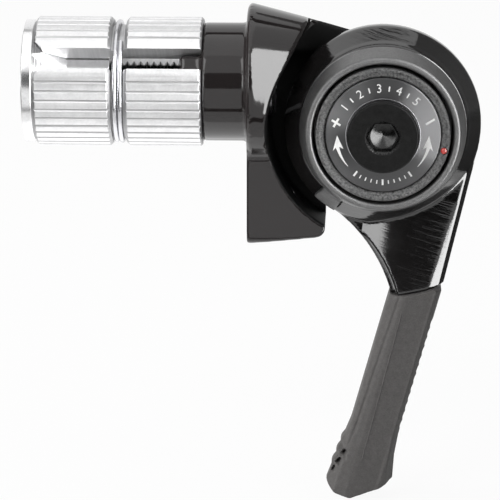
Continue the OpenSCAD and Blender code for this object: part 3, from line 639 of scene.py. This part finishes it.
# ---- Tension stack -----------------------------------------------------
# Inside the head a fibre washer, a keyed steel plate and a dished spring
# washer are squeezed by a steel nut. They set the lever's drag.
fibre = Finish("fibre", (0.16, 0.09, 0.05), 0.8)
fibre.tint(fibre.use(fine_grain, Size=0.3)["Mask"], (0.11, 0.06, 0.035), (0.19, 0.11, 0.06))
for node, name, width, finish, body, slot in (
        ("friction_washer", "fibre_washer", 0.05, fibre.material, "lever", "fibre"),
        ("friction_plate", "keyed_plate", 0.06, steel, "pod", "turned_steel"),
        ("spring_washer", "dished_washer", 0.05, steel, "pod", "turned_steel"),
        ("adjuster_nut", "tension_nut_ring", 0.08, steel, "tension_nut", "turned_steel")):
    fitted(softened(node, name, width), finish, body, slot, node)

# ---- Adjuster ring -----------------------------------------------------
# The ring that the fingers turn is black plastic. Its mould was spark eroded,
# which leaves a coarse, matt texture with lighter grains.
sparked = Finish("sparked_black", (0.03, 0.03, 0.03), 0.5)
grit = sparked.use(fine_grain, Size=0.3, Coarse=0.1)
sparked.tint(grit["Mask"], (0.003, 0.003, 0.003), (0.16, 0.16, 0.16))
sparked.gloss(grit["Mask"], 0.42, 0.62)
sparked.relief((grit["Height"], 0.09))
ring = softened("adjuster_ring", "finger_ring", 0.07)
fitted(ring, sparked.material, "tension_ring", "textured_black", "adjuster_ring")

# ---- Index dot ---------------------------------------------------------
# A drop of red enamel stands in a small pit of the ring as a low dome.
dot_low, dot_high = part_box("index_dot")
dot_centre = (dot_low + dot_high) / 2
dot_r = (dot_high.x - dot_low.x) / 2
dome = 0.72
bm = bmesh.new()
bmesh.ops.create_uvsphere(bm, u_segments=32, v_segments=16, radius=dot_r)
bmesh.ops.rotate(bm, cent=(0, 0, 0), matrix=Matrix.Rotation(math.pi / 2, 3, "X"),
                 verts=bm.verts)
bmesh.ops.scale(bm, vec=(1, dome, 1), verts=bm.verts)
bmesh.ops.translate(bm, verts=bm.verts,
                    vec=(dot_centre.x, dot_low.y + dome * dot_r, dot_centre.z))
enamel = Finish("red_enamel", (0.62, 0.06, 0.05), 0.22, Coat_Weight=0.5)
enamel.tint(enamel.use(fine_grain, Size=0.4)["Mask"], (0.5, 0.035, 0.03), (0.7, 0.085, 0.07))
fitted(finished(bm, "index_drop"), enamel.material, "tension_ring", "red_enamel", "index_dot")

# ---- Cover ring --------------------------------------------------------
# The cover that closes the stack is bead blasted aluminium, anodised grey.
# Its tab drops into the head's notch, so that it turns with the lever.
blasted = Finish("blasted_grey", (0.15, 0.15, 0.15), 0.42, metallic=0.85)
beads = blasted.use(fine_grain, Size=0.12, Coarse=0.3)
blasted.tint(beads["Mask"], (0.11, 0.11, 0.11), (0.19, 0.19, 0.19))
blasted.gloss(blasted.use(handling, Amount=0.8)["Mask"], 0.44, 0.54)
blasted.relief((beads["Height"], 0.03))
cover = cast_skin("cover_ring", "tab_cover", 0.125, 3)
fitted(cover, blasted.material, "lever", "satin_grey", "cover_ring")

# ---- Dial plate --------------------------------------------------------
# The black plate is brushed in circles, so light gathers on it in two
# wedges. Its marks are printed white. A thin lip of bright steel round the bolt
# is a painted highlight, standing in for the light on the bolt head's chamfer.
dial_face = dial_low.y
dial_r = (dial_high.x - dial_low.x) / 2
bolt_low, bolt_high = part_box("pivot_bolt")
bolt_head_r = (bolt_high.x - bolt_low.x) / 2


def lathed(profile, round_off, centre=pivot):
    """Turns a closed section of (radius, place along Y), its corners rounded off."""
    bm = bmesh.new()
    corners = [bm.verts.new((centre.x + r * mm, y, centre.z)) for r, y in profile]
    for a, b in zip(corners, corners[1:] + corners[:1]):
        bm.edges.new((a, b))
    bmesh.ops.bevel(bm, geom=corners, offset=round_off * mm, offset_type="OFFSET", segments=3,
                    profile=0.5, affect="VERTICES", material=-1)
    bmesh.ops.spin(bm, geom=list(bm.verts) + list(bm.edges), cent=centre, axis=(0, 1, 0),
                   dvec=(0, 0, 0), angle=2 * math.pi, steps=128, use_merge=True)
    bmesh.ops.remove_doubles(bm, verts=bm.verts, dist=0.0005 * mm)
    bmesh.ops.recalc_face_normals(bm, faces=bm.faces)
    return bm


# the plate is flat near its bore, then falls back to a chamfered rim
bore_r = 4.1
flat_r = 5.3
plate_r = dial_r / mm
fall = 0.16
chamfer = 0.12
rim_y = dial_face + (plate_r - flat_r) * fall * mm
plate = finished(lathed([(bore_r, dial_high.y), (bore_r, dial_face), (flat_r, dial_face),
                         (plate_r - chamfer, rim_y), (plate_r, rim_y + chamfer * mm),
                         (plate_r, dial_high.y)], 0.04), "dial_disc", smooth=5)
brushed = Finish("circle_brushed", (0.125, 0.125, 0.127), 0.36, metallic=1.0, Anisotropic=0.97,
                 Anisotropic_Rotation=0.25)
brush = brushed.use(turned, Pitch=0.05)
brushed.tree.links.new(distance_from(brushed, pivot, "Y"), brush["Mask"].node.inputs["Radius"])
brushed.gloss(brush["Mask"], 0.31, 0.4)
round_axis = brushed.tree.nodes.new("ShaderNodeTangent")
round_axis.direction_type = "RADIAL"
round_axis.axis = "Y"
brushed.tree.links.new(round_axis.outputs["Tangent"], brushed.shader.inputs["Tangent"])
fitted(plate, brushed.material, "pod", "brushed_black", "dial_plate")

# painted highlight: a thin ring of bright steel round the bolt head stands in for the light on
# its chamfer
lip_in = bolt_head_r / mm + 0.1
lip_out = bolt_head_r / mm + 0.22
lip_back = dial_face + 0.1 * mm
lip_front = dial_face - 0.07 * mm
painted_highlight_lip = finished(lathed([(lip_in, lip_back), (lip_in, lip_front),
                               (lip_out, lip_front), (lip_out, lip_back)], 0.02),
                       "painted_highlight_lip")
fitted(painted_highlight_lip, steel, "pod", "turned_steel")


def at_dial(radius, angle, turn=0.0):
    """The matrix that lays a flat mark on the dial, at degrees from its right."""
    return (Matrix.Translation((pivot.x, dial_face, pivot.z))
            @ Matrix.Rotation(math.radians(90 - angle), 4, "Y")
            @ Matrix.Translation((0, 0, radius * mm))
            @ Matrix.Rotation(math.radians(turn), 4, "Y")
            @ Matrix.Rotation(math.radians(90), 4, "X"))


marks = bmesh.new()


def bar(width, height, place):
    """Adds a straight stroke to the marks."""
    made = bmesh.ops.create_grid(marks, x_segments=1, y_segments=1, size=0.5 * mm)
    bmesh.ops.scale(marks, vec=(width, height, 1), verts=made["verts"])
    bmesh.ops.transform(marks, matrix=place, verts=made["verts"])


# plus and minus
bar(1.5, 0.32, at_dial(7.15, 165, 15))
bar(0.32, 1.5, at_dial(7.15, 165, 15))
bar(0.32, 1.5, at_dial(7.2, 16.8, -13))
# the scale: numbers over the top, short strokes between them and below
number_r = 6.95
for step in range(9):
    angle = 144 - 12.2 * step
    if step % 2:
        bar(0.2, 0.75, at_dial(number_r, angle))
        continue
    letter = bpy.data.curves.new("number", "FONT")
    letter.body = str(step // 2 + 1)
    letter.align_x = "CENTER"
    letter.align_y = "CENTER"
    letter.size = 1.75 * mm
    holder = bpy.data.objects.new("number", letter)
    bpy.context.collection.objects.link(holder)
    bpy.context.view_layer.update()
    figure = bpy.data.meshes.new_from_object(
        holder.evaluated_get(bpy.context.evaluated_depsgraph_get()))
    figure.transform(at_dial(number_r, angle))
    marks.from_mesh(figure)
    bpy.data.objects.remove(holder)
for step in range(11):
    width, height = (0.16, 0.55) if step % 5 else (0.28, 0.9)
    bar(width, height, at_dial(7.0, 235 + 7 * step))
# the two arrows: a tapering tail drawn round the axis, and a swept head
arrow_r = 6.9
for side, tail in ((1, 222), (-1, -42)):
    width = 0.04
    start = at_dial(arrow_r, tail)
    inner = marks.verts.new(start @ Vector((0, -width * mm, 0)))
    outer = marks.verts.new(start @ Vector((0, width * mm, 0)))
    for step in range(1, 13):
        width += 0.018
        place = at_dial(arrow_r, tail - side * 2.25 * step)
        near = marks.verts.new(place @ Vector((0, -width * mm, 0)))
        far = marks.verts.new(place @ Vector((0, width * mm, 0)))
        marks.faces.new((inner, outer, far, near))
        inner, outer = near, far
    tip = marks.verts.new(at_dial(6.75, tail - side * 42).translation)
    out_barb = marks.verts.new(at_dial(7.75, tail - side * 24).translation)
    in_barb = marks.verts.new(at_dial(6.15, tail - side * 23).translation)
    marks.faces.new((inner, in_barb, tip))
    marks.faces.new((outer, inner, tip))
    marks.faces.new((out_barb, outer, tip))
bmesh.ops.remove_doubles(marks, verts=marks.verts, dist=0.002 * mm)
bmesh.ops.recalc_face_normals(marks, faces=marks.faces)
if sum(f.normal.y * f.calc_area() for f in marks.faces) > 0:
    bmesh.ops.reverse_faces(marks, faces=marks.faces)
# the marks follow the plate's fall and stand a film of ink above it
ink_height = 0.03 * mm
for vertex in marks.verts:
    away = math.hypot(vertex.co.x - pivot.x, vertex.co.z - pivot.z) / mm
    vertex.co.y += (away - flat_r) * fall * mm
raised = bmesh.ops.extrude_face_region(marks, geom=list(marks.faces), use_keep_orig=True)
bmesh.ops.translate(marks, vec=(0, -ink_height, 0),
                    verts=[g for g in raised["geom"] if isinstance(g, bmesh.types.BMVert)])
ink = Finish("white_ink", (0.86, 0.86, 0.85), 0.5)
ink.tint(ink.use(fine_grain, Size=0.2)["Mask"], (0.74, 0.74, 0.73), (0.9, 0.9, 0.89))
fitted(finished(marks, "dial_marks"), ink.material, "pod", "white_print")

# ---- Pivot bolt --------------------------------------------------------
# The bolt that holds the stack is blackened steel with a turned face and a
# hexagon socket whose mouth is opened by a drill.
blackened = Finish("blackened_steel", (0.006, 0.006, 0.006), 0.42, Specular_IOR_Level=0.14)
scale = blackened.use(fine_grain, Size=0.2)
blackened.tint(scale["Mask"], (0.003, 0.003, 0.003), (0.009, 0.009, 0.009))
blackened.gloss(scale["Mask"], 0.36, 0.5)
blackened.relief((scale["Height"], 0.012))
bolt = flat_lit(softened("pivot_bolt", "socket_bolt", 0.05))
fitted(bolt, blackened.material, "pod", "black_steel", "pivot_bolt")
# inside the socket the blacking is thin and the steel shines through
worn = Finish("worn_socket", (0.045, 0.045, 0.045), 0.22, metallic=1.0)
worn.gloss(worn.use(fine_grain, Size=0.4)["Mask"], 0.2, 0.34)
bolt.data.materials.append(worn.material)
socket_r = 2.45 * mm
socket_from = bolt_low.y + 0.05 * mm
socket_to = bolt_low.y + 2.7 * mm
for face in bolt.data.polygons:
    away = math.hypot(face.center.x - pivot.x, face.center.z - pivot.z)
    if away < socket_r and socket_from < face.center.y < socket_to:
        face.material_index = 1

# ---- Expander bolt -----------------------------------------------------
# A black steel socket bolt draws the cone in. Its rolled thread shows in the
# slots of the plug; a steel washer carries its head.
screw_low, screw_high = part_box("expander_bolt")
head_x = screw_high.x - 6 * mm
thread_r = 2.95
root_r = 2.38
pitch = 1.0
bm = clean_copy("expander_bolt")
# the plain shank shrinks to the core, and a tooth is wound round it
shank = [v for v in bm.verts if math.hypot(v.co.y, v.co.z) < (thread_r + 0.1) * mm
         and v.co.x < head_x + 0.5 * mm]
bmesh.ops.scale(bm, vec=(1, 0.83, 0.83), verts=shank)
turns = int((head_x - screw_low.x) / (pitch * mm)) - 1
first_tooth = screw_low.x + 0.6 * mm
tooth = bm.faces.new([
    bm.verts.new((first_tooth + x * mm, 0, r * mm))
    for x, r in ((-0.46, root_r), (-0.08, thread_r), (0.08, thread_r), (0.46, root_r))])
around = 28
bmesh.ops.spin(bm, geom=[tooth], cent=(0, 0, 0), axis=(1, 0, 0),
               dvec=(pitch * mm / around, 0, 0), angle=2 * math.pi * turns,
               steps=around * turns, use_merge=False)
bmesh.ops.recalc_face_normals(bm, faces=bm.faces)
dark_steel = Finish("oiled_steel", (0.2, 0.2, 0.205), 0.33, metallic=1.0)
oil = dark_steel.use(handling, Amount=1)
dark_steel.gloss(oil["Mask"], 0.25, 0.42)
dark_steel.tint(dark_steel.use(fine_grain, Size=0.5)["Mask"], (0.13, 0.13, 0.135),
                (0.24, 0.24, 0.245))
fitted(finished(bm, "draw_bolt", smooth=28), dark_steel.material, "plug_bolt", "black_steel",
       "expander_bolt")
plug_axis = Vector((0, 0, 0))
plain_steel = turned_metal("plug_steel", (0.58, 0.58, 0.6), 0.25, plug_axis, "X")
fitted(softened("expander_washer", "bolt_washer", 0.1), plain_steel, "pod", "turned_steel",
       "expander_washer")

# ---- Cone --------------------------------------------------------------
# The cone is turned from bright aluminium; its outer rim keeps the fine
# rings of the facing cut.
bright_turned = turned_metal("bright_turned", (0.86, 0.86, 0.865), 0.22, plug_axis, "X")
cone_low, cone_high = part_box("expander_cone")
hole_r = 3
rim_r = cone_high.z / mm
nose_r = 5.3
nose_x = cone_high.x - 6.4 * mm
rim_x = nose_x - (rim_r - nose_r) / math.tan(math.radians(38)) * mm
bm = lathed([(hole_r, cone_low.x), (rim_r, cone_low.x), (rim_r, rim_x), (nose_r, nose_x),
             (nose_r, cone_high.x), (hole_r, cone_high.x)], 0.14, centre=plug_axis)
bmesh.ops.rotate(bm, cent=plug_axis, matrix=Matrix.Rotation(-math.pi / 2, 3, "Z"),
                 verts=bm.verts)
fitted(flat_lit(finished(bm, "draw_cone")), bright_turned, "plug_cone", "bright_alloy",
       "expander_cone")

# ---- Plug segments -----------------------------------------------------
# Three segments are sawn from one fluted aluminium bar, so each keeps the
# drawn lines along its lands and a soft edge at every flute.
plug_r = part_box("segment_top")[1].z / mm
flute_depth = 0.16
bright_drawn = Finish("bright_drawn", (0.9, 0.9, 0.905), 0.4, metallic=1.0)
drawn = streaks(bright_drawn, (70, 3800, 3800))
spots = bright_drawn.use(fine_grain, Size=0.35, Coarse=0.6)
# painted shade: the flutes, below the lands, are tinted darker; the lands carry a random patina
unshaded_lands = bright_drawn.between(distance_from(bright_drawn, plug_axis, "X"),
                             plug_r - flute_depth, plug_r)
bright_drawn.gloss(bright_drawn.ranged(drawn, -0.3, 1.3), 0.34, 0.48)
bands = streaks(bright_drawn, (25, 700, 700))
patina = bright_drawn.both(bright_drawn.ranged(spots["Mask"], 0.6, 1),
                           bright_drawn.ranged(bright_drawn.between(bands, 0.35, 0.65), 0.6, 1))
bright_drawn.tint(bright_drawn.both(unshaded_lands, patina), (0.48, 0.48, 0.485), (0.9, 0.9, 0.905))
bright_drawn.relief((drawn, 0.006), (spots["Height"], 0.012))
# the slots show the saw's marks across their walls
sawn = Finish("sawn_alloy", (0.75, 0.75, 0.755), 0.5, metallic=1.0)
cuts = streaks(sawn, (2600, 150, 150))
sawn.tint(cuts, (0.6, 0.6, 0.605), (0.86, 0.86, 0.865))
sawn.relief((cuts, 0.02))
for node, name, body in (("segment_top", "upper_third", "top_segment"),
                         ("segment_front", "near_third", "front_segment"),
                         ("segment_rear", "far_third", "rear_segment")):
    third = flat_lit(softened(node, name, 0.07, sharp=20))
    fitted(third, bright_drawn.material, body, "bright_alloy", node)
    third.data.materials.append(sawn.material)
    for face in third.data.polygons:
        out = Vector((0, face.center.y, face.center.z))
        faces_in = abs(face.normal.x) < 0.3 and face.normal.dot(out) < 0.45 * out.length
        if faces_in and out.length < (plug_r - 0.35) * mm:
            face.material_index = 1

# ---- Spring ring -------------------------------------------------------
# One and a third turns of hard drawn wire lie in the groove and hold the
# three segments together; the wire's two ends pass side by side.
wire_low, wire_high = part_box("spring_ring")
wire_r = 0.39 * mm
ring_r = wire_high.z - wire_r
lead = wire_high.x - wire_low.x - 2 * wire_r
first_end = -200
bm = bmesh.new()
bmesh.ops.create_circle(bm, cap_ends=True, segments=12, radius=wire_r)
bmesh.ops.translate(bm, verts=bm.verts, vec=(0, 0, ring_r))
bmesh.ops.rotate(bm, cent=(0, 0, ring_r), matrix=Matrix.Rotation(math.pi / 2, 3, "X"),
                 verts=bm.verts)
bmesh.ops.translate(bm, verts=bm.verts, vec=(wire_low.x + wire_r, 0, 0))
bmesh.ops.rotate(bm, cent=(0, 0, 0), matrix=Matrix.Rotation(math.radians(first_end), 3, "X"),
                 verts=bm.verts)
leading = list(bm.faces)
for angle, steps, shift in ((60, 16, 0), (360, 96, lead), (60, 16, 0)):
    leading = [g for g in bmesh.ops.spin(
        bm, geom=leading, cent=(0, 0, 0), axis=(1, 0, 0), dvec=(shift / steps, 0, 0),
        angle=math.radians(-angle), steps=steps, use_merge=False)["geom_last"]
        if isinstance(g, bmesh.types.BMFace)]
bmesh.ops.recalc_face_normals(bm, faces=bm.faces)
wire = Finish("hard_drawn_wire", (0.6, 0.6, 0.62), 0.2, metallic=1.0)
wire.gloss(wire.use(fine_grain, Size=0.3)["Mask"], 0.14, 0.28)
fitted(finished(bm, "ring_wire", smooth=50), wire.material, "pod", "spring_wire", "spring_ring")
